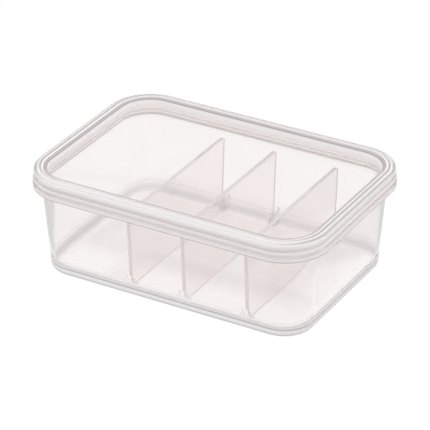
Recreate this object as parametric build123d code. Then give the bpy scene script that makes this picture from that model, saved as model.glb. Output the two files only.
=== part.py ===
from build123d import *
import os
from math import radians, tan

# A clear, lidded organizer box: a tub with a rolled rim, a recessed lid that plugs into its mouth,
# and three upright dividers that drop in between guide fins. Millimetres, +Z up, the origin in the
# middle of the foot, on the table. An inset is measured inwards from the outline of the tub's rim.

# Outline of the tub's rim, seen from above
LENGTH = 200.0
WIDTH = 140.5
CORNER_RADIUS = 29.0

# Tub wall and floor
TUB_HEIGHT = 62.2
WALL = 2.0
FLOOR = 2.2
DRAFT = 4.3
FLOOR_FILLET = 5.0
MOUTH_BEVEL = 0.5

# Foot ring that lifts the floor off the table
FOOT_HEIGHT = 1.6
FOOT_WIDTH = 5.0
FOOT_ROUND = 2.5

# Tub rim: a flange that turns down into a lip
RIM_OVERHANG = 5.3
RIM_WALL = 1.8
RIM_HEIGHT = 6.3
RIM_TOP_ROUND = 1.8
RIM_BOTTOM_BEVEL = 0.7

# Lid rim: a hollow bead that stands on the tub's flange
LID_INSET = 0.7
LID_RIM_HEIGHT = 6.1
LID_RIM_WALL = 2.2
LID_TOP_ROUND = 2.4
LID_BOTTOM_BEVEL = 0.7
LAND_BEVEL = 0.9

# Lid panel, at the foot of a leaning recess wall
RECESS_DEPTH = 6.0
RECESS_WALL = 2.7
RECESS_LEAN = 16.0
RECESS_BEVEL = 0.7
PANEL = 2.2

# Lid plug, a ring that fits inside the tub's mouth
PLUG_DEPTH = 5.0
PLUG_WALL = 1.8
PLUG_BEVEL = 0.5
PLUG_CLEARANCE = 0.3

# Dividers: plates that lean in at their ends, and the clear widths that they leave, left to right
DIVIDER_THICKNESS = 2.4
DIVIDER_HEIGHT = 49.8
DIVIDER_END_GAP = 4.0
DIVIDER_END_DRAFT = 3.4
DIVIDER_TOP_ROUND = 2.0
DIVIDER_BOTTOM_ROUND = 2.5
COMPARTMENTS = {"divider_left": 60.4, "divider_middle": 34.9, "divider_right": 41.0}

# Guide fins: pairs at the foot of the front and back walls that hold each divider's ends
GUIDE_THICKNESS = 1.2
GUIDE_HEIGHT = 9.0
GUIDE_LAND = 1.2
GUIDE_TOE = 0.8
GUIDE_GRIP = 4.0
GUIDE_CLEARANCE = 0.2

# Levels and seams that follow from the sizes above
FLOOR_TOP = FOOT_HEIGHT + FLOOR
PANEL_TOP = TUB_HEIGHT + LID_RIM_HEIGHT - RECESS_DEPTH
SEAM_MARGIN = 1.0


def run_over(rise, angle):
    """How far a face that leans by angle moves sideways over a rise."""
    return rise * tan(radians(angle))


def wall_outside(z):
    """Inset of the tub wall's outer face at a height."""
    return RIM_OVERHANG + run_over(TUB_HEIGHT - z, DRAFT)


def wall_inside(z):
    """Inset of the tub wall's inner face at a height."""
    return wall_outside(z) + WALL


def plug_outside(z):
    """Inset of the lid plug's outer face at a height, a clearance inside the tub's wall."""
    return wall_inside(z) + PLUG_CLEARANCE


def outline(inset):
    """The rim's outline, drawn in by an inset, as a face on the table."""
    return RectangleRounded(LENGTH - 2 * inset, WIDTH - 2 * inset, CORNER_RADIUS - inset)


def swept(corners):
    """A section of (inset, height, rounding) corners, swept once round the rim's outline."""
    points = [(-inset, z) for inset, z, _ in corners]
    roundings = [rounding for _, _, rounding in corners]
    section = make_face(FilletPolyline(*points, radius=roundings, close=True))
    return sweep(Pos(LENGTH / 2, 0, 0) * (Plane.XZ * section), path=outline(0).wire())


def plate(inset, low, high):
    """A flat plate inside a swept section, from its inset inwards."""
    return Pos(0, 0, low) * extrude(outline(inset), high - low)


# Tub
def tub_wall():
    """Foot ring, drafted wall, flange and turned-down lip as one section round the outline."""
    seam = wall_inside(FLOOR_TOP) + FLOOR_FILLET + SEAM_MARGIN
    flange_under = TUB_HEIGHT - RIM_WALL
    lip_bottom = TUB_HEIGHT - RIM_HEIGHT
    foot_inside = wall_outside(0) + FOOT_WIDTH
    wall = swept([
        (foot_inside, 0, 0),
        (wall_outside(0), 0, FOOT_ROUND),
        (wall_outside(flange_under), flange_under, 0),
        (RIM_WALL, flange_under, 0),
        (RIM_WALL, lip_bottom, 0),
        (RIM_BOTTOM_BEVEL, lip_bottom, 0),
        (0, lip_bottom + RIM_BOTTOM_BEVEL, 0),
        (0, TUB_HEIGHT, RIM_TOP_ROUND),
        (wall_inside(TUB_HEIGHT) - MOUTH_BEVEL, TUB_HEIGHT, 0),
        (wall_inside(TUB_HEIGHT - MOUTH_BEVEL), TUB_HEIGHT - MOUTH_BEVEL, 0),
        (wall_inside(FLOOR_TOP), FLOOR_TOP, FLOOR_FILLET),
        (seam, FLOOR_TOP, 0),
        (seam, FOOT_HEIGHT, 0),
        (foot_inside, FOOT_HEIGHT, 0),
    ])
    return wall + plate(seam, FOOT_HEIGHT, FLOOR_TOP)


def guide_fin(x_low):
    """One fin in the corner between the floor and the back wall, from x_low to the right."""
    foot_y = WIDTH / 2 - wall_inside(FLOOR_TOP)
    top_z = FLOOR_TOP + GUIDE_HEIGHT
    top_y = WIDTH / 2 - wall_inside(top_z)
    toe_y = foot_y - DIVIDER_END_GAP - GUIDE_GRIP
    rooted_z = FLOOR_TOP - FLOOR / 2
    profile = Polyline(
        (foot_y + WALL / 2, rooted_z),
        (top_y + WALL / 2, top_z),
        (top_y - GUIDE_LAND, top_z),
        (toe_y, FLOOR_TOP + GUIDE_TOE),
        (toe_y, rooted_z),
        close=True,
    )
    return Pos(x_low, 0, 0) * extrude(Plane.YZ * make_face(profile), GUIDE_THICKNESS)


def guides(x):
    """The four fins round one divider: a pair at the back wall and its mirror image at the front."""
    reach = DIVIDER_THICKNESS / 2 + GUIDE_CLEARANCE
    back = guide_fin(x + reach) + guide_fin(x - reach - GUIDE_THICKNESS)
    return back + mirror(back, about=Plane.XZ)


def tub():
    """The tub: its swept wall and floor with the fins for every divider."""
    body = tub_wall()
    for x in divider_places().values():
        body += guides(x)
    return body


# Lid
def lid():
    """The lid: hollow rim, recess wall, plug ring and panel."""
    top = TUB_HEIGHT + LID_RIM_HEIGHT
    skirt_inside = LID_INSET + LID_RIM_WALL
    recess_foot = plug_outside(TUB_HEIGHT) + RECESS_WALL
    recess_edge = recess_foot - run_over(RECESS_DEPTH, RECESS_LEAN)
    hollow_top = top - LID_RIM_WALL
    hollow_inside = recess_edge - LID_RIM_WALL
    plug_bottom = TUB_HEIGHT - PLUG_DEPTH
    plug_inside = plug_outside(plug_bottom) + PLUG_WALL
    seam = max(recess_foot + RECESS_BEVEL, plug_inside) + SEAM_MARGIN
    rim = swept([
        (skirt_inside, TUB_HEIGHT, 0),
        (LID_INSET + LID_BOTTOM_BEVEL, TUB_HEIGHT, 0),
        (LID_INSET, TUB_HEIGHT + LID_BOTTOM_BEVEL, 0),
        (LID_INSET, top, LID_TOP_ROUND),
        (recess_edge - LAND_BEVEL, top, 0),
        (recess_edge + run_over(LAND_BEVEL, RECESS_LEAN), top - LAND_BEVEL, 0),
        (recess_foot - run_over(RECESS_BEVEL, RECESS_LEAN), PANEL_TOP + RECESS_BEVEL, 0),
        (recess_foot + RECESS_BEVEL, PANEL_TOP, 0),
        (seam, PANEL_TOP, 0),
        (seam, PANEL_TOP - PANEL, 0),
        (plug_inside, PANEL_TOP - PANEL, 0),
        (plug_inside, plug_bottom, 0),
        (plug_outside(plug_bottom) + PLUG_BEVEL, plug_bottom, 0),
        (plug_outside(plug_bottom + PLUG_BEVEL), plug_bottom + PLUG_BEVEL, 0),
        (plug_outside(TUB_HEIGHT), TUB_HEIGHT, 0),
        (hollow_inside, hollow_top, 0),
        (skirt_inside, hollow_top, 0),
    ])
    return rim + plate(seam, PANEL_TOP - PANEL, PANEL_TOP)


# Dividers
def divider_places():
    """Each divider's middle in X, laid out from the left wall by the clear compartment widths."""
    places = {}
    edge = wall_inside(FLOOR_TOP) - LENGTH / 2
    for name, clear in COMPARTMENTS.items():
        places[name] = edge + clear + DIVIDER_THICKNESS / 2
        edge += clear + DIVIDER_THICKNESS
    return places


def divider(x):
    """An upright plate with rounded corners that stands on the floor."""
    low_y = WIDTH / 2 - wall_inside(FLOOR_TOP) - DIVIDER_END_GAP
    high_y = low_y + run_over(DIVIDER_HEIGHT, DIVIDER_END_DRAFT)
    corners = [(low_y, 0), (high_y, DIVIDER_HEIGHT), (-high_y, DIVIDER_HEIGHT), (-low_y, 0)]
    roundings = [DIVIDER_BOTTOM_ROUND, DIVIDER_TOP_ROUND, DIVIDER_TOP_ROUND, DIVIDER_BOTTOM_ROUND]
    profile = make_face(FilletPolyline(*corners, radius=roundings, close=True))
    return Pos(x, 0, FLOOR_TOP) * extrude(Plane.YZ * profile, DIVIDER_THICKNESS / 2, both=True)


def pieces():
    """Every separate piece of the box by name."""
    return {"tub": tub(), "lid": lid()} | {name: divider(x) for name, x in divider_places().items()}


os.makedirs("parts", exist_ok=True)
for name, shape in pieces().items():
    export_step(shape, f"parts/{name}.step")
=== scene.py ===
"""Studio scene of a clear organizer box: a tub, a lid that plugs into it and three loose dividers.

Sizes are written in millimetres, as on the box's drawing, and become metres where a mesh or a
shader needs them. An inset is measured inwards from the outline of the tub's rim, seen from above.
"""

from __future__ import annotations

import logging
import math
from dataclasses import dataclass, field
from enum import Enum
from typing import Any, Sequence

import bmesh
import bpy
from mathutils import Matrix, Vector

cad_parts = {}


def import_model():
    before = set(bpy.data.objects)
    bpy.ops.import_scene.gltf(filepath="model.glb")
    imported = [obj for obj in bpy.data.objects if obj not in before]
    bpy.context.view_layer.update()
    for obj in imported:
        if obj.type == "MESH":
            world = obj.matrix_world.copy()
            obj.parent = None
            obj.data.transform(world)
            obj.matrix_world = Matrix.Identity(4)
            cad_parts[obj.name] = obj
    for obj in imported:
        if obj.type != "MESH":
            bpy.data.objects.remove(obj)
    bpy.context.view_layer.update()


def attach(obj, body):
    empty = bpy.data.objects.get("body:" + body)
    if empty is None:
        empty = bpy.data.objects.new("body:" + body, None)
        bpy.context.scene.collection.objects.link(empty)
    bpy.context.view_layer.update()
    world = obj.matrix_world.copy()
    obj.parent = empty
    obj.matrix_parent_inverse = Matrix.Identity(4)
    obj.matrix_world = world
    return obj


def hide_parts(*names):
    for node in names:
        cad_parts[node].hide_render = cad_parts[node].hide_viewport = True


MM = 0.001
log = logging.getLogger("organizer_box")

Color = tuple[float, float, float]
Span = tuple[float, float]
Reach = tuple[float, float, float, float]
Stops = Sequence[tuple[float, Color]]
WHITE: Color = (1.0, 1.0, 1.0)
BLACK: Color = (0.0, 0.0, 0.0)

# Sockets of a Mix node that mixes colours
MIX_SHARE, MIX_FIRST, MIX_SECOND, MIX_RESULT = 0, 6, 7, 2

# Roundings: degrees of turn from one point to the next, and the fewest steps and bevel segments
TURN_STEP = 9.0
FEWEST_STEPS = 3
BEVEL_SEGMENTS = 3


class Slot(Enum):
    """The record's material slots."""

    TUB = "tub_plastic"
    LID = "lid_plastic"
    DIVIDER = "divider_plastic"


class Value:
    """A number on a node socket, for use in Python expressions."""

    def __init__(self, tree: Tree, socket: bpy.types.NodeSocket) -> None:
        """Keeps the socket.

        Args:
            tree: The node tree that the socket is in.
            socket: The output socket that carries the number.
        """
        self.tree = tree
        self.socket = socket

    def __add__(self, other: Any) -> Value:
        """self + other."""
        return self.tree.math("ADD", self, other)

    def __radd__(self, other: Any) -> Value:
        """other + self."""
        return self.tree.math("ADD", other, self)

    def __sub__(self, other: Any) -> Value:
        """self - other."""
        return self.tree.math("SUBTRACT", self, other)

    def __rsub__(self, other: Any) -> Value:
        """other - self."""
        return self.tree.math("SUBTRACT", other, self)

    def __mul__(self, other: Any) -> Value:
        """self * other."""
        return self.tree.math("MULTIPLY", self, other)

    def __rmul__(self, other: Any) -> Value:
        """other * self."""
        return self.tree.math("MULTIPLY", other, self)


class Tree:
    """A node tree that is filled one node at a time."""

    def __init__(self, tree: bpy.types.NodeTree) -> None:
        """Empties the tree.

        Args:
            tree: The tree of a material or a world.
        """
        self.tree = tree
        tree.nodes.clear()

    def node(
        self,
        kind: str,
        settings: dict[str, Any] | None = None,
        inputs: dict[Any, Any] | None = None,
    ) -> bpy.types.Node:
        """Adds one node.

        Args:
            kind: The node's type.
            settings: Its own settings, set before its sockets. "stops" fills a ramp with
                (place, colour) pairs.
            inputs: A number, a colour, a socket or a Value for each input, by name or by index.

        Returns:
            The new node.
        """
        made = self.tree.nodes.new(kind)
        for name, value in (settings or {}).items():
            if name == "stops":
                ramp = made.color_ramp.elements
                while len(ramp) < len(value):
                    ramp.new(1.0)
                for stop, (place, color) in zip(ramp, value):
                    stop.position, stop.color = place, (*color, 1.0)
            else:
                setattr(made, name, value)
        for key, value in (inputs or {}).items():
            if isinstance(value, Value):
                value = value.socket
            if isinstance(value, bpy.types.NodeSocket):
                self.tree.links.new(value, made.inputs[key])
            elif isinstance(value, tuple) and made.inputs[key].type == "RGBA":
                made.inputs[key].default_value = (*value, 1.0)
            else:
                made.inputs[key].default_value = value
        return made

    def math(self, operation: str, *inputs: Any) -> Value:
        """Adds one Math node.

        Args:
            operation: What it does.
            inputs: Its numbers or values, in order.

        Returns:
            Its result.
        """
        made = self.node("ShaderNodeMath", {"operation": operation}, dict(enumerate(inputs)))
        return Value(self, made.outputs[0])

    def vector(self, operation: str, *inputs: Any) -> bpy.types.NodeSocket:
        """Adds one Vector Math node.

        Args:
            operation: What it does.
            inputs: Its vectors, in order.

        Returns:
            Its result, which is a number for a length or a dot product.
        """
        made = self.node("ShaderNodeVectorMath", {"operation": operation}, dict(enumerate(inputs)))
        return made.outputs["Value" if operation in ("LENGTH", "DOT_PRODUCT") else "Vector"]

    def mix(self, share: Any, first: Any, second: Any, way: str = "MIX") -> bpy.types.NodeSocket:
        """Mixes two colours.

        Args:
            share: How much the second colour counts.
            first: The first colour.
            second: The second colour.
            way: How the second colour is laid over the first.

        Returns:
            The mixed colour.
        """
        settings = {"data_type": "RGBA", "blend_type": way}
        inputs = {MIX_SHARE: share, MIX_FIRST: first, MIX_SECOND: second}
        return self.node("ShaderNodeMix", settings, inputs).outputs[MIX_RESULT]

    def ramp(self, stops: Stops, place: Any) -> bpy.types.NodeSocket:
        """The colour of a ramp at a place from 0 to 1."""
        return self.node("ShaderNodeValToRGB", {"stops": list(stops)}, {0: place}).outputs[0]

    def point(self) -> bpy.types.NodeSocket:
        """The point of the surface, in the object's own metres."""
        return self.node("ShaderNodeTexCoord").outputs["Object"]

    def part(self, vector: bpy.types.NodeSocket, axis: str) -> bpy.types.NodeSocket:
        """One coordinate of a vector."""
        return self.node("ShaderNodeSeparateXYZ", inputs={0: vector}).outputs[axis]

    def noise(self, size: float, detail: float = 2.0) -> Value:
        """Smooth noise over the object.

        Args:
            size: Width of a patch, in millimetres.
            detail: Octaves of finer noise.

        Returns:
            A value near 0.5, from 0 to 1.
        """
        inputs = {"Vector": self.point(), "Scale": 1.0 / (size * MM), "Detail": detail}
        made = self.node("ShaderNodeTexNoise", {"noise_dimensions": "3D"}, inputs)
        return Value(self, made.outputs[0])

    def step(self, value: Any, low: float, high: float, kind: str = "LINEAR") -> Value:
        """A ramp between two values.

        Args:
            value: What is compared.
            low: What gives 0.
            high: What gives 1.
            kind: Whether the ramp is straight or eased.

        Returns:
            A value from 0 to 1.
        """
        settings = {"clamp": True, "interpolation_type": kind}
        inputs = {"Value": value, "From Min": low, "From Max": high}
        return Value(self, self.node("ShaderNodeMapRange", settings, inputs).outputs[0])

    def band(self, value: Any, reach: Reach) -> Value:
        """Where a value lies in a band.

        Args:
            value: What is compared.
            reach: Where the band starts, is full, starts to fade and is gone.

        Returns:
            1 within the band, and less towards 0 on both sides of it.
        """
        start, full, fade, gone = reach
        return self.step(value, start, full) * (1 - self.step(value, fade, gone))

    def height(self, low: float, high: float) -> Value:
        """How far up a point is between two levels of the object.

        Args:
            low: The level that gives 0, in millimetres.
            high: The level that gives 1.

        Returns:
            A value from 0 to 1.
        """
        return self.step(self.part(self.point(), "Z"), low * MM, high * MM)

    def inset(self, half: Span, corner: float, shift: Span = (0.0, 0.0)) -> Value:
        """How far inside a rounded rectangle a point is, seen from above.

        Args:
            half: Half the rectangle's length and width, in millimetres.
            corner: Its corners' radius.
            shift: Where its middle is.

        Returns:
            Millimetres, above 0 inside the rectangle and below 0 outside it.
        """
        middle = (shift[0] * MM, shift[1] * MM, 0.0)
        core = ((half[0] - corner) * MM, (half[1] - corner) * MM, 0.0)
        moved = self.vector("SUBTRACT", self.point(), middle)
        flat = self.vector("ABSOLUTE", self.vector("MULTIPLY", moved, (1.0, 1.0, 0.0)))
        past = self.vector("SUBTRACT", flat, core)
        nearest = self.math("MAXIMUM", self.part(past, "X"), self.part(past, "Y"))
        within = self.math("MINIMUM", nearest, 0.0)
        beyond = self.vector("LENGTH", self.vector("MAXIMUM", past, (0.0, 0.0, 0.0)))
        return (corner * MM - (Value(self, beyond) + within)) * (1 / MM)


@dataclass(frozen=True)
class RimOutline:
    """The outline of the tub's rim from above, which every moulded section follows."""

    length: float = 200.0
    width: float = 140.5
    corner_radius: float = 29.0
    steps: int = 36

    def stations(self) -> list[tuple[Vector, Vector]]:
        """Places along the outline.

        Returns:
            For each place the middle of its corner's arc and the way out from it.
        """
        made = []
        reach_x = self.length / 2 - self.corner_radius
        reach_y = self.width / 2 - self.corner_radius
        for quarter, (sign_x, sign_y) in enumerate(((1, 1), (-1, 1), (-1, -1), (1, -1))):
            middle = Vector((sign_x * reach_x, sign_y * reach_y, 0))
            for step in range(self.steps + 1):
                angle = math.pi / 2 * (quarter + step / self.steps)
                made.append((middle, Vector((math.cos(angle), math.sin(angle), 0))))
        return made

    def point(self, station: tuple[Vector, Vector], inset: float, height: float) -> Vector:
        """A point of a section.

        Args:
            station: The place along the outline.
            inset: How far in from the outline.
            height: Its level.

        Returns:
            The point, in metres.
        """
        middle, out = station
        return (middle + out * (self.corner_radius - inset) + Vector((0, 0, height))) * MM

    def inset(self, tree: Tree) -> Value:
        """How far in from the outline the surface is, in millimetres."""
        return tree.inset((self.length / 2, self.width / 2), self.corner_radius)


@dataclass(frozen=True)
class PaintedEdgeLine:
    """A painted line in the dull skin, where a moulding's wall turns: a dark one is painted shade
    and dark reflection, a light one a painted highlight.

    Its inset says where it starts, is full, starts to fade and is gone, going inwards, and its
    levels say the same going up. With two levels it runs up to the top of the piece.
    """

    inset: Reach
    levels: Sequence[float]
    color: Color
    share: float = 0.0
    long_sides: float = 0.0
    short_sides: Span = (78.0, 94.0)

    def mask(self, tree: Tree, inset: Value) -> Value:
        """Where the line is.

        Args:
            tree: The material's tree.
            inset: How far in from the rim's outline.

        Returns:
            1 on the line and 0 off it, and less on the long sides where it is fainter there.
        """
        made = tree.band(inset, self.inset) * tree.height(*self.levels[:2])
        if self.levels[2:]:
            made = made * (1 - tree.height(*self.levels[2:]))
        if self.long_sides < 1:
            x = tree.part(tree.vector("ABSOLUTE", tree.point()), "X")
            ends = tree.step(x, self.short_sides[0] * MM, self.short_sides[1] * MM)
            made = made * (ends * (1 - self.long_sides) + self.long_sides)
        return made


@dataclass(frozen=True)
class FilletShadeRing:
    """The duller ring along the tub's floor fillet, coloured with painted shade in the crease, left
    open where the dividers' fins stand.
    """

    gaps: Sequence[float]
    gap_half: float = 3.2
    inset: Reach = (12.6, 13.0, 18.5, 20.5)
    fades_at: Span = (8.0, 9.5)
    # Painted shade along the fillet's crease.
    color: Color = (0.9, 0.865, 0.865)
    share: float = 0.45

    def inner(self, tree: Tree, inset: Value) -> Value:
        """1 inside the tub's wall, where the ring's own skin takes over, and 0 outside it."""
        return tree.step(inset, *self.inset[:2])

    def mask(self, tree: Tree, inset: Value) -> Value:
        """Where the ring is.

        Args:
            tree: The material's tree.
            inset: How far in from the rim's outline.

        Returns:
            1 on the ring and 0 off it.
        """
        made = tree.band(inset, self.inset) * (1 - tree.height(*self.fades_at))
        x = tree.part(tree.point(), "X")
        for gap in self.gaps:
            made = made * (1 - tree.math("COMPARE", x, gap * MM, self.gap_half * MM))
        return made


@dataclass(frozen=True)
class SatinAndPaintedLight:
    """The duller skin of a moulding's rim and base, coloured with painted highlights and shade
    lines.

    The bands give its colour by level, painted highlights and shade bands, and the shares how much
    of the surface it takes there.
    """

    painted_bands: Stops
    shares: Sequence[Span]
    lines: Sequence[PaintedEdgeLine] = ()
    fillet: FilletShadeRing | None = None
    recess: Span | None = None
    # Painted shade in the lid's recess.
    recess_shade_color: Color = (0.96, 0.925, 0.915)
    roughness: float = 0.35

    @staticmethod
    def by_height(tree: Tree, stops: Stops) -> bpy.types.NodeSocket:
        """A colour for each level of the object.

        Args:
            tree: The material's tree.
            stops: (level in millimetres, colour) pairs, from the lowest up.

        Returns:
            The colour, even between two levels.
        """
        low, high = stops[0][0], stops[-1][0]
        places = [((level - low) / (high - low), color) for level, color in stops]
        return tree.ramp(places, tree.height(low, high))

    def mask(self, tree: Tree, inset: Value) -> Value:
        """Where the skin is dull.

        Args:
            tree: The material's tree.
            inset: How far in from the rim's outline.

        Returns:
            The dull skin's share of the surface.
        """
        greys = [(level, (share, share, share)) for level, share in self.shares]
        made = Value(tree, self.by_height(tree, greys))
        for line in self.lines:
            if line.share:
                made = made + line.share * line.mask(tree, inset)
        if self.fillet:
            outer = 1 - self.fillet.inner(tree, inset)
            made = made * outer + self.fillet.share * self.fillet.mask(tree, inset)
        return made

    def color(self, tree: Tree, inset: Value) -> bpy.types.NodeSocket:
        """The dull skin's colour.

        Args:
            tree: The material's tree.
            inset: How far in from the rim's outline.

        Returns:
            A colour by height of painted highlights and shade, with painted shade in the recess and
            along the fillet, and painted lines on the edges.
        """
        made = self.by_height(tree, self.painted_bands)
        if self.recess:
            made = tree.mix(tree.step(inset, *self.recess), made, self.recess_shade_color)
        for line in self.lines:
            made = tree.mix(line.mask(tree, inset), made, line.color)
        if self.fillet:
            made = tree.mix(self.fillet.inner(tree, inset), made, self.fillet.color)
        return made


@dataclass(frozen=True)
class ClearPlastic:
    """A see-through moulded plastic, polished, with the faint unevenness of a moulded face."""

    name: str
    surface: Color = (0.972, 0.956, 0.948)
    surface_drift: Color = (0.96, 0.942, 0.932)
    absorbed: Color = (2.0, 2.6, 2.4)
    refraction: float = 1.49
    haze: float = 0.015
    haze_drift: float = 0.02
    haze_patch: float = 18.0
    haze_detail: float = 3.0
    ripple: float = 0.003
    ripple_patch: float = 22.0
    fine_ripple: float = 0.12
    fine_ripple_patch: float = 4.4
    ripple_detail: float = 1.0
    scuff: float = 0.0
    scuff_fades: Span = (0.1, 0.7)
    # The duller skin, whose colour is painted highlights and shade.
    satin_and_painted_light: SatinAndPaintedLight | None = None

    def material(self) -> bpy.types.Material:
        """Makes the material.

        Returns:
            A material with a tinted body and a polished skin, duller where its satin is, whose
            colour there is painted highlights and shade.
        """
        made = bpy.data.materials.new(self.name)
        made.use_nodes = True
        tree = Tree(made.node_tree)
        patches = tree.noise(self.haze_patch, self.haze_detail)
        rough = self.haze + self.haze_drift * patches
        if self.scuff:
            rough = rough + self.scuff * (1 - tree.height(*self.scuff_fades))
        waves = tree.noise(self.ripple_patch, self.ripple_detail)
        waves = waves + self.fine_ripple * tree.noise(self.fine_ripple_patch, self.ripple_detail)
        uneven = {"Strength": 1.0, "Distance": self.ripple * MM, "Height": waves}
        bump = tree.node("ShaderNodeBump", inputs=uneven).outputs[0]
        skin = tree.node(
            "ShaderNodeBsdfPrincipled",
            inputs={
                "Base Color": tree.mix(patches, self.surface, self.surface_drift),
                "Roughness": rough,
                "Normal": bump,
                "IOR": self.refraction,
                "Transmission Weight": 1.0,
            },
        )
        if self.satin_and_painted_light:
            inset = RimOutline().inset(tree)
            # The dull skin is lit by the studio, and its colour adds painted highlights and shade.
            dull_and_painted = tree.node(
                "ShaderNodeBsdfPrincipled",
                inputs={
                    "Base Color": self.satin_and_painted_light.color(tree, inset),
                    "Roughness": self.satin_and_painted_light.roughness + self.haze_drift * patches,
                    "Normal": bump,
                    "IOR": self.refraction,
                },
            )
            skins = {0: self.satin_and_painted_light.mask(tree, inset), 1: skin.outputs[0], 2: dull_and_painted.outputs[0]}
            skin = tree.node("ShaderNodeMixShader", inputs=skins)
        parts = {"Surface": skin.outputs[0]}
        density = max(self.absorbed)
        if density > 0:
            left = tuple(1.0 - part / density for part in self.absorbed)
            tint = {"Color": left, "Density": density}
            parts["Volume"] = tree.node("ShaderNodeVolumeAbsorption", inputs=tint).outputs[0]
        tree.node("ShaderNodeOutputMaterial", inputs=parts)
        return made


@dataclass(frozen=True)
class LightTable:
    """The white table, lit from below in a strip that runs back under the box.

    On it lie the box's wide soft shade, a little behind the box, and the narrow one round its foot.
    Both are seen only through the plastic and in its reflections.
    """

    heading: float
    name: str = "light_table"
    bright: Color = WHITE
    dim: Color = (0.71, 0.7, 0.71)
    sides: Span = (107.0, 119.0)
    front: Span = (-140.0, -100.0)
    back: Span = (620.0, 900.0)
    grain: float = 1.5
    rough: float = 0.85
    rough_drift: float = 0.1
    foot_half: Span = (90.0, 60.3)
    foot_corner: float = 19.0
    contact: float = 0.55
    contact_reach: Reach = (-3.0, -1.0, -1.0, 5.0)
    shade_half: Span = (80.0, 47.0)
    shade_shift: Span = (-12.0, 29.0)
    shade_reach: Span = (-50.0, 14.0)
    shade: Stops = (
        (0.0, (0.93, 0.918, 0.912)),
        (0.5, (0.9, 0.885, 0.88)),
        (0.75, (0.91, 0.89, 0.892)),
        (0.85, (0.96, 0.945, 0.95)),
        (1.0, WHITE),
    )

    @staticmethod
    def past(tree: Tree, way: Vector, ends: Span) -> Value:
        """A soft step along one direction of the table.

        Args:
            tree: The material's tree.
            way: The direction.
            ends: Where the step starts and ends, in millimetres.

        Returns:
            0 before the step and 1 after it.
        """
        along = tree.vector("DOT_PRODUCT", tree.point(), tuple(way))
        return tree.step(along, ends[0] * MM, ends[1] * MM, "SMOOTHSTEP")

    def strip(self, tree: Tree) -> Value:
        """Where the bright strip is.

        Args:
            tree: The material's tree.

        Returns:
            1 in the strip and 0 on the rest of the table.
        """
        turn = math.radians(self.heading)
        right = Vector((math.cos(turn), math.sin(turn), 0))
        back = Vector((-math.sin(turn), math.cos(turn), 0))
        made = (1 - self.past(tree, right, self.sides)) * (1 - self.past(tree, -right, self.sides))
        return made * self.past(tree, back, self.front) * (1 - self.past(tree, back, self.back))

    def under_box(self, tree: Tree) -> bpy.types.NodeSocket:
        """The box's two shades, by the distance from their outlines.

        Args:
            tree: The material's tree.

        Returns:
            A colour that the glow is multiplied by.
        """
        away = 0 - tree.inset(self.shade_half, self.foot_corner, self.shade_shift)
        wide = tree.ramp(self.shade, tree.step(away, *self.shade_reach))
        near = 0 - tree.inset(self.foot_half, self.foot_corner)
        return tree.mix(self.contact * tree.band(near, self.contact_reach), wide, BLACK, "MULTIPLY")

    def material(self) -> bpy.types.Material:
        """Makes the material.

        Returns:
            A glowing white, which the camera itself sees as pure white.
        """
        made = bpy.data.materials.new(self.name)
        made.use_nodes = True
        tree = Tree(made.node_tree)
        glow = tree.mix(self.strip(tree), self.dim, self.bright)
        skin = tree.node(
            "ShaderNodeBsdfPrincipled",
            inputs={
                "Base Color": BLACK,
                "Roughness": self.rough + self.rough_drift * tree.noise(self.grain),
                "Specular IOR Level": 0.0,
                "Emission Color": tree.mix(1.0, glow, self.under_box(tree), "MULTIPLY"),
                "Emission Strength": 1.0,
            },
        )
        white = tree.node("ShaderNodeEmission", inputs={"Color": WHITE, "Strength": 1.0})
        seen = tree.node("ShaderNodeLightPath").outputs["Is Camera Ray"]
        skins = {0: seen, 1: skin.outputs[0], 2: white.outputs[0]}
        both = tree.node("ShaderNodeMixShader", inputs=skins)
        tree.node("ShaderNodeOutputMaterial", inputs={"Surface": both.outputs[0]})
        return made


@dataclass(frozen=True)
class Corner:
    """One corner of a moulded section."""

    inset: float
    height: float
    rounding: float = 0.0


def rounded(corners: Sequence[Corner]) -> list[Span]:
    """Rounds the corners of a section.

    Args:
        corners: The section's corners in order. The first and the last stay sharp.

    Returns:
        (inset, height) points along the section.
    """
    points = [(corners[0].inset, corners[0].height)]
    for before, here, after in zip(corners, corners[1:], corners[2:]):
        at = Vector((here.inset, here.height))
        if here.rounding <= 0:
            points.append(tuple(at))
            continue
        one = (Vector((before.inset, before.height)) - at).normalized()
        two = (Vector((after.inset, after.height)) - at).normalized()
        half = one.angle(two) / 2
        middle = at + (one + two).normalized() * (here.rounding / math.sin(half))
        start = at + one * (here.rounding / math.tan(half)) - middle
        end = at + two * (here.rounding / math.tan(half)) - middle
        turn = start.angle(end)
        count = max(FEWEST_STEPS, math.ceil(math.degrees(turn) / TURN_STEP))
        for step in range(count + 1):
            rest, gone = (1 - step / count) * turn, step / count * turn
            spoke = (start * math.sin(rest) + end * math.sin(gone)) / math.sin(turn)
            points.append(tuple(middle + spoke))
    points.append((corners[-1].inset, corners[-1].height))
    return points


def soften(form: bmesh.types.BMesh, edges: set[bmesh.types.BMEdge], width: float) -> None:
    """Rounds edges of a form.

    Args:
        form: The form.
        edges: Its edges that are rounded.
        width: The rounding's width, in millimetres.
    """
    bmesh.ops.bevel(
        form,
        geom=list(edges),
        offset=width * MM,
        segments=BEVEL_SEGMENTS,
        profile=0.5,
        affect="EDGES",
    )


def put_in_scene(name: str, form: bmesh.types.BMesh) -> bpy.types.Object:
    """Makes an object of a form, with its faces turned outwards.

    Args:
        name: The object's name.
        form: The form, which is freed.

    Returns:
        The new object, in the scene.
    """
    bmesh.ops.recalc_face_normals(form, faces=form.faces)
    mesh = bpy.data.meshes.new(name)
    form.to_mesh(mesh)
    form.free()
    made = bpy.data.objects.new(name, mesh)
    bpy.context.scene.collection.objects.link(made)
    return made


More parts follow.
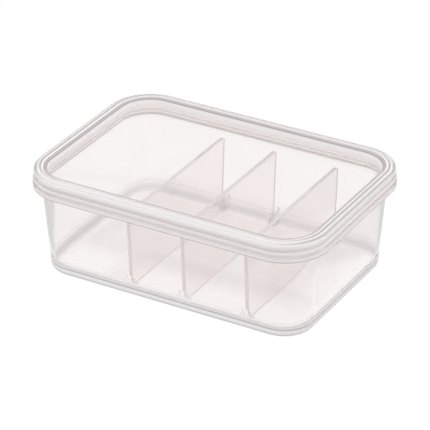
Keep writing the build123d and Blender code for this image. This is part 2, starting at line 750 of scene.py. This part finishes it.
def shade(piece: bpy.types.Object, sharp: float = 40.0, flat_weight: int = 90) -> None:
    """Shades a piece smooth, with its flat faces kept true beside their roundings.

    Args:
        piece: The piece.
        sharp: Degrees between two faces above which their edge stays sharp.
        flat_weight: How much the larger faces count.
    """
    piece.data.polygons.foreach_set("use_smooth", [True] * len(piece.data.polygons))
    piece.data.set_sharp_from_angle(angle=math.radians(sharp))
    even = piece.modifiers.new("true_faces", "WEIGHTED_NORMAL")
    even.mode = "FACE_AREA"
    even.weight = flat_weight
    even.keep_sharp = True


def dress(
    piece: bpy.types.Object, finishes: Sequence[ClearPlastic], node: str
) -> None:
    """Gives a piece its finish and its place in the frame.

    Args:
        piece: The piece.
        finishes: Its finish, and that of its edges if they have their own.
        node: The CAD node that it stands for, whose body has the same name.
    """
    for finish in finishes:
        piece.data.materials.append(bpy.data.materials.get(finish.name) or finish.material())
    piece.visible_shadow = False
    piece.visible_diffuse = False
    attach(piece, node)
    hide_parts(node)


@dataclass
class Moulding:
    """A moulded piece whose section runs once round the rim's outline."""

    outline: RimOutline = field(default_factory=RimOutline)

    def swept(self, name: str, corners: Sequence[Corner], lift: float = 0.0) -> bpy.types.Object:
        """Sweeps a section round the outline and closes it with a flat sheet above and below.

        Args:
            name: The object's name.
            corners: The section, from the edge of its upper sheet to the edge of its lower one.
            lift: Raises the whole piece.

        Returns:
            The closed piece.
        """
        form = bmesh.new()
        points = rounded(corners)
        rows = []
        for station in self.outline.stations():
            places = [self.outline.point(station, inset, z + lift) for inset, z in points]
            rows.append([form.verts.new(place) for place in places])
        for row, after in zip(rows, rows[1:] + rows[:1]):
            for k in range(len(points) - 1):
                form.faces.new((row[k], row[k + 1], after[k + 1], after[k]))
        form.faces.new([row[0] for row in rows])
        form.faces.new([row[-1] for row in rows])
        return put_in_scene(name, form)


@dataclass
class Tub(Moulding):
    """The tub: drafted walls on a foot ring, a turned-down rim, and fins for the dividers' ends."""

    height: float = 62.2
    wall: float = 2.0
    floor: float = 2.2
    draft: float = 4.3
    floor_fillet: float = 5.0
    floor_margin: float = 1.0
    mouth_round: float = 0.5
    foot_height: float = 1.6
    foot_width: float = 5.0
    foot_round: float = 2.5
    foot_edge_round: float = 0.5
    rim_overhang: float = 5.3
    rim_wall: float = 1.8
    rim_height: float = 6.3
    rim_top_round: float = 1.8
    rim_bottom_round: float = 0.7
    rim_inner_round: float = 0.5
    fin_thickness: float = 1.2
    fin_height: float = 9.0
    fin_land: float = 1.2
    fin_toe: float = 0.8
    fin_grip: float = 4.0
    fin_clearance: float = 0.2
    fin_round: float = 0.25

    @property
    def floor_top(self) -> float:
        """Level of the floor's upper face."""
        return self.foot_height + self.floor

    def outside(self, z: float) -> float:
        """Inset of the wall's outer face at a level."""
        return self.rim_overhang + (self.height - z) * math.tan(math.radians(self.draft))

    def inside(self, z: float) -> float:
        """Inset of the wall's inner face at a level."""
        return self.outside(z) + self.wall

    def section(self) -> list[Corner]:
        """The tub's section.

        Returns:
            Its corners, from the floor's upper face over the rim to the floor's lower face.
        """
        under = self.height - self.rim_wall
        lip = self.height - self.rim_height
        foot_inside = self.outside(0) + self.foot_width
        floor_edge = self.inside(self.floor_top) + self.floor_fillet + self.floor_margin
        return [
            Corner(floor_edge, self.floor_top),
            Corner(self.inside(self.floor_top), self.floor_top, self.floor_fillet),
            Corner(self.inside(self.height), self.height, self.mouth_round),
            Corner(0.0, self.height, self.rim_top_round),
            Corner(0.0, lip, self.rim_bottom_round),
            Corner(self.rim_wall, lip, self.rim_inner_round),
            Corner(self.rim_wall, under, self.rim_inner_round),
            Corner(self.outside(under), under, self.rim_inner_round),
            Corner(self.outside(0), 0.0, self.foot_round),
            Corner(foot_inside, 0.0, self.foot_edge_round),
            Corner(foot_inside, self.foot_height, self.foot_edge_round),
            Corner(floor_edge, self.foot_height),
        ]

    def fin(self, form: bmesh.types.BMesh, x_low: float, side: int) -> None:
        """Adds one guide fin in the corner between the floor and a long wall.

        Args:
            form: The form that it is added to.
            x_low: Its lower face in X.
            side: 1 at the back wall, -1 at the front.
        """
        half = self.outline.width / 2
        foot = half - self.inside(self.floor_top)
        top = self.floor_top + self.fin_height
        top_y = half - self.inside(top)
        toe = foot - DividerPlate.end_gap - self.fin_grip
        root = self.floor_top - self.floor / 2
        crest = [(top_y - self.fin_land, top), (toe, self.floor_top + self.fin_toe)]
        profile = [
            (foot + self.wall / 2, root),
            (top_y + self.wall / 2, top),
            *crest,
            (toe, root),
        ]
        low, high = [
            [form.verts.new(Vector((x, side * y, z)) * MM) for y, z in profile]
            for x in (x_low, x_low + self.fin_thickness)
        ]
        faces = [form.faces.new(low), form.faces.new(high)]
        for k in range(len(profile)):
            faces.append(form.faces.new((low[k], low[k - 1], high[k - 1], high[k])))
        bmesh.ops.recalc_face_normals(form, faces=faces)
        proud = {vert for row in (low, high) for vert, place in zip(row, profile) if place in crest}
        edges = {edge for face in faces for edge in face.edges if proud.issuperset(edge.verts)}
        soften(form, edges, self.fin_round)

    def finish(self, dividers: Sequence[float]) -> ClearPlastic:
        """The tub's plastic, with a scuffed foot and a satin rim, base and floor fillet, coloured
        with painted shade lines and highlights.

        Args:
            dividers: The dividers' middles in X.

        Returns:
            The finish.
        """
        # Painted shade lines: on the lip's shoulder, and over the base at the short ends.
        lip_shoulder = PaintedEdgeLine((-1.0, 0.0, 2.0, 3.0), (59.6, 60.2, 61.0, 61.6), (0.84, 0.8, 0.79))
        foot_ends = PaintedEdgeLine((0.0, 1.0, 15.0, 16.0), (1.0, 2.0, 4.5, 4.9), (0.76, 0.75, 0.77))
        satin_and_painted_light = SatinAndPaintedLight(
            # Painted by level: shade lines at the base's bottom and top, under the lip and on its
            # shoulder, highlights between them.
            painted_bands=(
                (0.0, (0.56, 0.55, 0.57)),
                (1.2, (0.6, 0.59, 0.61)),
                (2.5, (0.76, 0.75, 0.77)),
                (3.4, (0.92, 0.91, 0.92)),
                (4.5, (0.9, 0.89, 0.9)),
                (4.8, (0.5, 0.49, 0.5)),
                (5.5, (0.46, 0.45, 0.46)),
                (5.9, (0.86, 0.84, 0.84)),
                (6.5, (0.98, 0.96, 0.95)),
                (9.5, (0.94, 0.91, 0.9)),
                (55.6, (0.42, 0.4, 0.395)),
                (56.4, (0.42, 0.4, 0.395)),
                (56.7, (1.0, 0.96, 0.945)),
                (58.9, (1.0, 0.95, 0.935)),
                (59.7, (0.86, 0.815, 0.8)),
                (60.3, (0.76, 0.715, 0.7)),
                (60.5, (0.7, 0.66, 0.65)),
                (60.8, (0.8, 0.755, 0.745)),
                (61.8, (0.84, 0.8, 0.79)),
                (62.2, (0.88, 0.845, 0.835)),
            ),
            shares=(
                (0.0, 0.8),
                (5.6, 0.8),
                (6.6, 0.5),
                (9.0, 0.36),
                (9.7, 0.32),
                (9.8, 0.0),
                (54.6, 0.0),
                (55.4, 0.5),
                (56.3, 0.5),
                (57.0, 0.68),
                (57.6, 0.64),
                (58.3, 0.52),
                (59.7, 0.42),
                (60.4, 0.44),
                (61.1, 0.6),
                (61.8, 0.72),
                (62.2, 0.72),
            ),
            lines=(lip_shoulder, foot_ends),
            fillet=FilletShadeRing(gaps=dividers),
        )
        return ClearPlastic("clear_tub_plastic", scuff=0.55, satin_and_painted_light=satin_and_painted_light)

    def build(self, dividers: Sequence[float]) -> bpy.types.Object:
        """Makes and dresses the tub.

        Args:
            dividers: The dividers' middles in X.

        Returns:
            The tub as one closed piece.
        """
        piece = self.swept("tub_moulding", self.section())
        form = bmesh.new()
        reach = DividerPlate.thickness / 2 + self.fin_clearance
        for x in dividers:
            for side in (-1, 1):
                self.fin(form, x + reach, side)
                self.fin(form, x - reach - self.fin_thickness, side)
        fins = put_in_scene("guide_fins", form)
        join = piece.modifiers.new("fins", "BOOLEAN")
        join.operation = "UNION"
        join.solver = "EXACT"
        join.object = fins
        graph = bpy.context.evaluated_depsgraph_get()
        joined = bpy.data.meshes.new_from_object(piece.evaluated_get(graph))
        piece.modifiers.clear()
        piece.data = joined
        bpy.data.objects.remove(fins)
        shade(piece)
        dress(piece, [self.finish(dividers)], "tub")
        return piece


@dataclass
class Lid(Moulding):
    """The lid: a hollow bead on the tub's flange, a sunk panel and a plug ring inside the mouth."""

    tub: Tub = field(default_factory=Tub)
    inset: float = 0.7
    rim_height: float = 6.1
    rim_wall: float = 2.2
    top_round: float = 2.4
    bottom_round: float = 0.8
    land_round: float = 1.3
    inner_round: float = 0.5
    recess_depth: float = 6.0
    recess_wall: float = 2.7
    recess_lean: float = 16.0
    recess_fillet: float = 0.9
    panel: float = 2.2
    panel_margin: float = 2.5
    plug_depth: float = 5.0
    plug_wall: float = 1.8
    plug_round: float = 0.5
    plug_clearance: float = 0.3
    seat_gap: float = 0.05

    def plug_outside(self, z: float) -> float:
        """Inset of the plug's outer face at a level."""
        return self.tub.inside(z) + self.plug_clearance

    def section(self) -> list[Corner]:
        """The lid's section.

        Returns:
            Its corners, from the panel's upper face over the bead and the plug to the panel's
            lower face.
        """
        seat = self.tub.height
        top = seat + self.rim_height
        panel_top = top - self.recess_depth
        skirt = self.inset + self.rim_wall
        foot = self.plug_outside(seat) + self.recess_wall
        edge = foot - self.recess_depth * math.tan(math.radians(self.recess_lean))
        hollow = top - self.rim_wall
        hollow_inside = edge - self.rim_wall
        plug_bottom = seat - self.plug_depth
        plug_inside = self.plug_outside(plug_bottom) + self.plug_wall
        panel_edge = max(foot, plug_inside) + self.panel_margin
        return [
            Corner(panel_edge, panel_top),
            Corner(foot, panel_top, self.recess_fillet),
            Corner(edge, top, self.land_round),
            Corner(self.inset, top, self.top_round),
            Corner(self.inset, seat, self.bottom_round),
            Corner(skirt, seat, self.inner_round),
            Corner(skirt, hollow, self.inner_round),
            Corner(hollow_inside, hollow, self.inner_round),
            Corner(self.plug_outside(seat), seat),
            Corner(self.plug_outside(plug_bottom), plug_bottom, self.plug_round),
            Corner(plug_inside, plug_bottom, self.plug_round),
            Corner(plug_inside, panel_top - self.panel, self.plug_round),
            Corner(panel_edge, panel_top - self.panel),
        ]

    @staticmethod
    def finish() -> ClearPlastic:
        """The lid's plastic, with a satin rim coloured with painted highlights and shade lines.

        Returns:
            The finish.
        """
        # Painted lines: the dark ones are painted shade and dark reflections, most fainter on the
        # long sides.
        land_edge = PaintedEdgeLine(
            (6.2, 6.5, 9.0, 9.4), (67.0, 67.4), (0.46, 0.425, 0.425), share=0.2, long_sides=1.0
        )
        land_middle = PaintedEdgeLine(
            (3.9, 4.3, 5.3, 5.6), (68.0, 68.2), (0.34, 0.32, 0.32), share=0.25, long_sides=0.3
        )
        # A painted highlight on the land.
        land_gleam = PaintedEdgeLine((5.5, 5.7, 6.4, 6.8), (67.4, 67.7), (1.0, 0.98, 0.975))
        bead_shoulder = PaintedEdgeLine(
            (1.1, 1.5, 2.2, 2.7), (67.0, 67.3), (0.46, 0.44, 0.44), share=0.1, long_sides=0.12
        )
        bead_foot = PaintedEdgeLine((-1.0, 0.0, 2.0, 3.0), (62.0, 62.2, 63.8, 64.6), (0.86, 0.82, 0.81))
        satin_and_painted_light = SatinAndPaintedLight(
            painted_bands=(
                # Painted by level: shade at the bead's foot, a highlight high on the bead and dark
                # lines on the land.
                (62.4, (0.64, 0.605, 0.595)),
                (63.1, (0.64, 0.605, 0.595)),
                (63.4, (0.72, 0.68, 0.67)),
                (64.0, (0.74, 0.7, 0.69)),
                (64.7, (0.85, 0.81, 0.8)),
                (65.4, (0.98, 0.95, 0.935)),
                (66.4, (1.0, 0.975, 0.965)),
                (66.8, (0.93, 0.905, 0.895)),
                (67.2, (0.96, 0.945, 0.935)),
                (67.5, (0.96, 0.945, 0.935)),
                (67.75, (0.8, 0.78, 0.77)),
                (67.92, (0.8, 0.78, 0.77)),
                (68.1, (0.84, 0.83, 0.82)),
                (68.22, (0.84, 0.83, 0.82)),
                (68.3, (0.76, 0.73, 0.725)),
                (68.4, (0.76, 0.73, 0.725)),
            ),
            shares=(
                (62.42, 0.0),
                (62.6, 0.45),
                (64.0, 0.47),
                (65.0, 0.6),
                (66.0, 0.8),
                (67.6, 0.8),
                (67.9, 0.65),
                (68.2, 0.6),
                (68.34, 0.5),
            ),
            lines=(land_edge, land_middle, land_gleam, bead_shoulder, bead_foot),
            # Painted shade in the recess.
            recess=(7.9, 8.5),
        )
        return ClearPlastic("clear_lid_plastic", satin_and_painted_light=satin_and_painted_light)

    def build(self) -> bpy.types.Object:
        """Makes and dresses the lid.

        Returns:
            The lid as one closed piece, a hair above the tub's flange.
        """
        piece = self.swept("lid_moulding", self.section(), self.seat_gap)
        shade(piece)
        dress(piece, [self.finish()], "lid")
        return piece


@dataclass
class DividerPlate:
    """One divider: an upright plate that leans in at its ends."""

    name: str
    middle: float
    tub: Tub = field(default_factory=Tub)
    thickness: float = 2.4
    height: float = 49.8
    end_gap: float = 4.0
    end_draft: float = 3.4
    top_round: float = 2.0
    bottom_round: float = 2.5
    edge_round: float = 0.3
    seat_gap: float = 0.05
    flat_from: float = 0.9

    def outline(self) -> list[Span]:
        """The plate's outline from the side.

        Returns:
            (y, height) points, once round.
        """
        low = self.tub.outline.width / 2 - self.tub.inside(self.tub.floor_top) - self.end_gap
        high = low + self.height * math.tan(math.radians(self.end_draft))
        corners = [
            Corner(0.0, 0.0),
            Corner(low, 0.0, self.bottom_round),
            Corner(high, self.height, self.top_round),
            Corner(-high, self.height, self.top_round),
            Corner(-low, 0.0, self.bottom_round),
            Corner(0.0, 0.0),
        ]
        return rounded(corners)[:-1]

    @staticmethod
    def finishes() -> list[ClearPlastic]:
        """The plate's two finishes.

        Returns:
            The lightly frosted one of its sides, and the satin one of its edges, coloured with
            painted shade, darkest at the top edge.
        """
        rose = {
            "surface": (0.94, 0.903, 0.903),
            "surface_drift": (0.92, 0.883, 0.885),
            "absorbed": BLACK,
        }
        # The edges' colour is painted shade, darkest at the top edge.
        satin_and_painted_light = SatinAndPaintedLight(
            painted_bands=((0.0, (0.74, 0.69, 0.7)), (50.0, (0.8, 0.755, 0.76)), (53.7, (0.6, 0.56, 0.56))),
            shares=((0.0, 0.6), (60.0, 0.6)),
        )
        return [
            ClearPlastic("frosted_divider_plastic", haze=0.02, haze_drift=0.03, **rose),
            ClearPlastic("divider_edge_plastic", satin_and_painted_light=satin_and_painted_light, **rose),
        ]

    def build(self) -> bpy.types.Object:
        """Makes and dresses the plate.

        Returns:
            The plate with softened edges, a hair above the tub's floor.
        """
        form = bmesh.new()
        foot = self.tub.floor_top + self.seat_gap
        outline = self.outline()
        low, high = [
            [form.verts.new(Vector((x, y, foot + z)) * MM) for y, z in outline]
            for x in (self.middle - self.thickness / 2, self.middle + self.thickness / 2)
        ]
        faces = [form.faces.new(low), form.faces.new(high)]
        for k in range(len(outline)):
            form.faces.new((low[k - 1], low[k], high[k], high[k - 1]))
        bmesh.ops.recalc_face_normals(form, faces=form.faces)
        soften(form, {edge for face in faces for edge in face.edges}, self.edge_round)
        piece = put_in_scene(f"{self.name}_plate", form)
        for face in piece.data.polygons:
            face.material_index = int(abs(face.normal.x) < self.flat_from)
        shade(piece)
        dress(piece, self.finishes(), self.name)
        return piece


@dataclass
class Dividers:
    """The three dividers, laid out by the clear widths that they leave."""

    tub: Tub = field(default_factory=Tub)
    clear_widths: Sequence[tuple[str, float]] = (
        ("divider_left", 60.4),
        ("divider_middle", 34.9),
        ("divider_right", 41.0),
    )

    def plates(self) -> list[DividerPlate]:
        """The plates from left to right.

        Returns:
            One plate for each clear width.
        """
        made = []
        edge = self.tub.inside(self.tub.floor_top) - self.tub.outline.length / 2
        for name, clear in self.clear_widths:
            made.append(DividerPlate(name, edge + clear + DividerPlate.thickness / 2, self.tub))
            edge += clear + DividerPlate.thickness
        return made


@dataclass
class Studio:
    """The table, the light, the sky and the camera."""

    azimuth: float = 29.73
    elevation: float = 28.76
    distance: float = 1663.8
    target_right: float = 0.0795
    target_height: float = 33.35
    focal_pixels: float = 2706.2
    image_width: float = 430.0
    sensor: float = 36.0
    table_rings: Sequence[float] = (0.4, 1.2, 3.0, 9.0)
    table_sides: int = 48
    table_drop: float = 0.1
    clear_bounces: int = 72
    sky: Stops = (
        (0.0, (0.62, 0.61, 0.63)),
        (0.15, (0.65, 0.64, 0.66)),
        (0.3, WHITE),
        (0.62, (1.05, 1.05, 1.05)),
        (0.74, (1.02, 1.02, 1.02)),
        (1.0, WHITE),
    )

    def lay_table(self) -> None:
        """Lays the table, a wide flat sheet just under the box's foot."""
        form = bmesh.new()
        z = -self.table_drop * MM
        turns = [math.tau * side / self.table_sides for side in range(self.table_sides)]
        rows = [
            [form.verts.new((ring * math.cos(turn), ring * math.sin(turn), z)) for turn in turns]
            for ring in self.table_rings
        ]
        form.faces.new(rows[0])
        for inner, outer in zip(rows, rows[1:]):
            for k in range(self.table_sides):
                form.faces.new((inner[k - 1], inner[k], outer[k], outer[k - 1]))
        piece = put_in_scene("studio_paper", form)
        piece.data.materials.append(LightTable(self.azimuth).material())

    @staticmethod
    def hang_light(name: str, size: Span, place: Vector, aim: Vector, watts: float) -> None:
        """Hangs one softbox.

        Args:
            name: The light's name.
            size: Its width and depth, in metres.
            place: Where it hangs, in metres.
            aim: What it faces.
            watts: Its power.
        """
        lamp = bpy.data.lights.new(name, "AREA")
        lamp.shape = "RECTANGLE"
        lamp.size, lamp.size_y = size
        lamp.energy = watts
        made = bpy.data.objects.new(name, lamp)
        made.location = place
        made.rotation_euler = (aim - place).to_track_quat("-Z", "Y").to_euler()
        bpy.context.scene.collection.objects.link(made)

    def set_sky(self) -> None:
        """Sets the sky, dimmer low down, and the plain white that the camera sees of it."""
        world = bpy.data.worlds.new("studio_sky")
        bpy.context.scene.world = world
        world.use_nodes = True
        tree = Tree(world.node_tree)
        direction = tree.node("ShaderNodeTexCoord").outputs["Generated"]
        color = tree.ramp(self.sky, tree.part(direction, "Z"))
        sky = tree.node("ShaderNodeBackground", inputs={"Color": color, "Strength": 1.0})
        white = tree.node("ShaderNodeBackground", inputs={"Color": WHITE, "Strength": 1.0})
        seen = tree.node("ShaderNodeLightPath").outputs["Is Camera Ray"]
        skies = {0: seen, 1: sky.outputs[0], 2: white.outputs[0]}
        both = tree.node("ShaderNodeMixShader", inputs=skies)
        tree.node("ShaderNodeOutputWorld", inputs={"Surface": both.outputs[0]})

    def set_camera(self) -> None:
        """Sets up the scene's camera."""
        azimuth, elevation = math.radians(self.azimuth), math.radians(self.elevation)
        level = math.cos(elevation)
        back = Vector((math.sin(azimuth) * level, -math.cos(azimuth) * level, math.sin(elevation)))
        right = Vector((math.cos(azimuth), math.sin(azimuth), 0))
        target = right * self.target_right + Vector((0, 0, self.target_height))
        lens = bpy.data.cameras.new("camera")
        lens.sensor_width = self.sensor
        lens.lens = self.focal_pixels / self.image_width * self.sensor
        lens.clip_start, lens.clip_end = 0.05, 50.0
        made = bpy.data.objects.new("camera", lens)
        made.location = (target + back * self.distance) * MM
        made.rotation_mode = "QUATERNION"
        made.rotation_quaternion = (-back).to_track_quat("-Z", "Y")
        bpy.context.scene.collection.objects.link(made)
        bpy.context.scene.camera = made

    def set_rendering(self) -> None:
        """Sets plain colours and enough bounces for clear plastic."""
        scene = bpy.context.scene
        scene.view_settings.view_transform = "Standard"
        scene.view_settings.look = "None"
        scene.cycles.max_bounces = self.clear_bounces
        scene.cycles.transmission_bounces = self.clear_bounces
        scene.cycles.glossy_bounces = self.clear_bounces
        scene.cycles.transparent_max_bounces = 32
        scene.cycles.diffuse_bounces = 3
        scene.cycles.sample_clamp_indirect = 1.5

    def build(self) -> None:
        """Sets up the whole studio."""
        self.lay_table()
        self.hang_light(
            "overhead_softbox",
            size=(1.6, 0.7),
            place=Vector((0.0, 0.5, 2.0)),
            aim=Vector((0.0, 0.0, 0.0)),
            watts=7.0,
        )
        self.set_sky()
        self.set_camera()
        self.set_rendering()


def main() -> None:
    """Builds, dresses and places every piece, then the studio."""
    logging.basicConfig(level=logging.INFO, format="%(name)s: %(message)s")
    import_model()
    tub = Tub()
    plates = Dividers(tub).plates()
    pieces = [tub.build([plate.middle for plate in plates]), Lid(tub=tub).build()]
    pieces += [plate.build() for plate in plates]
    for piece in pieces:
        log.info("%s: %d faces", piece.name, len(piece.data.polygons))
    Studio().build()


if __name__ == "__main__":
    main()
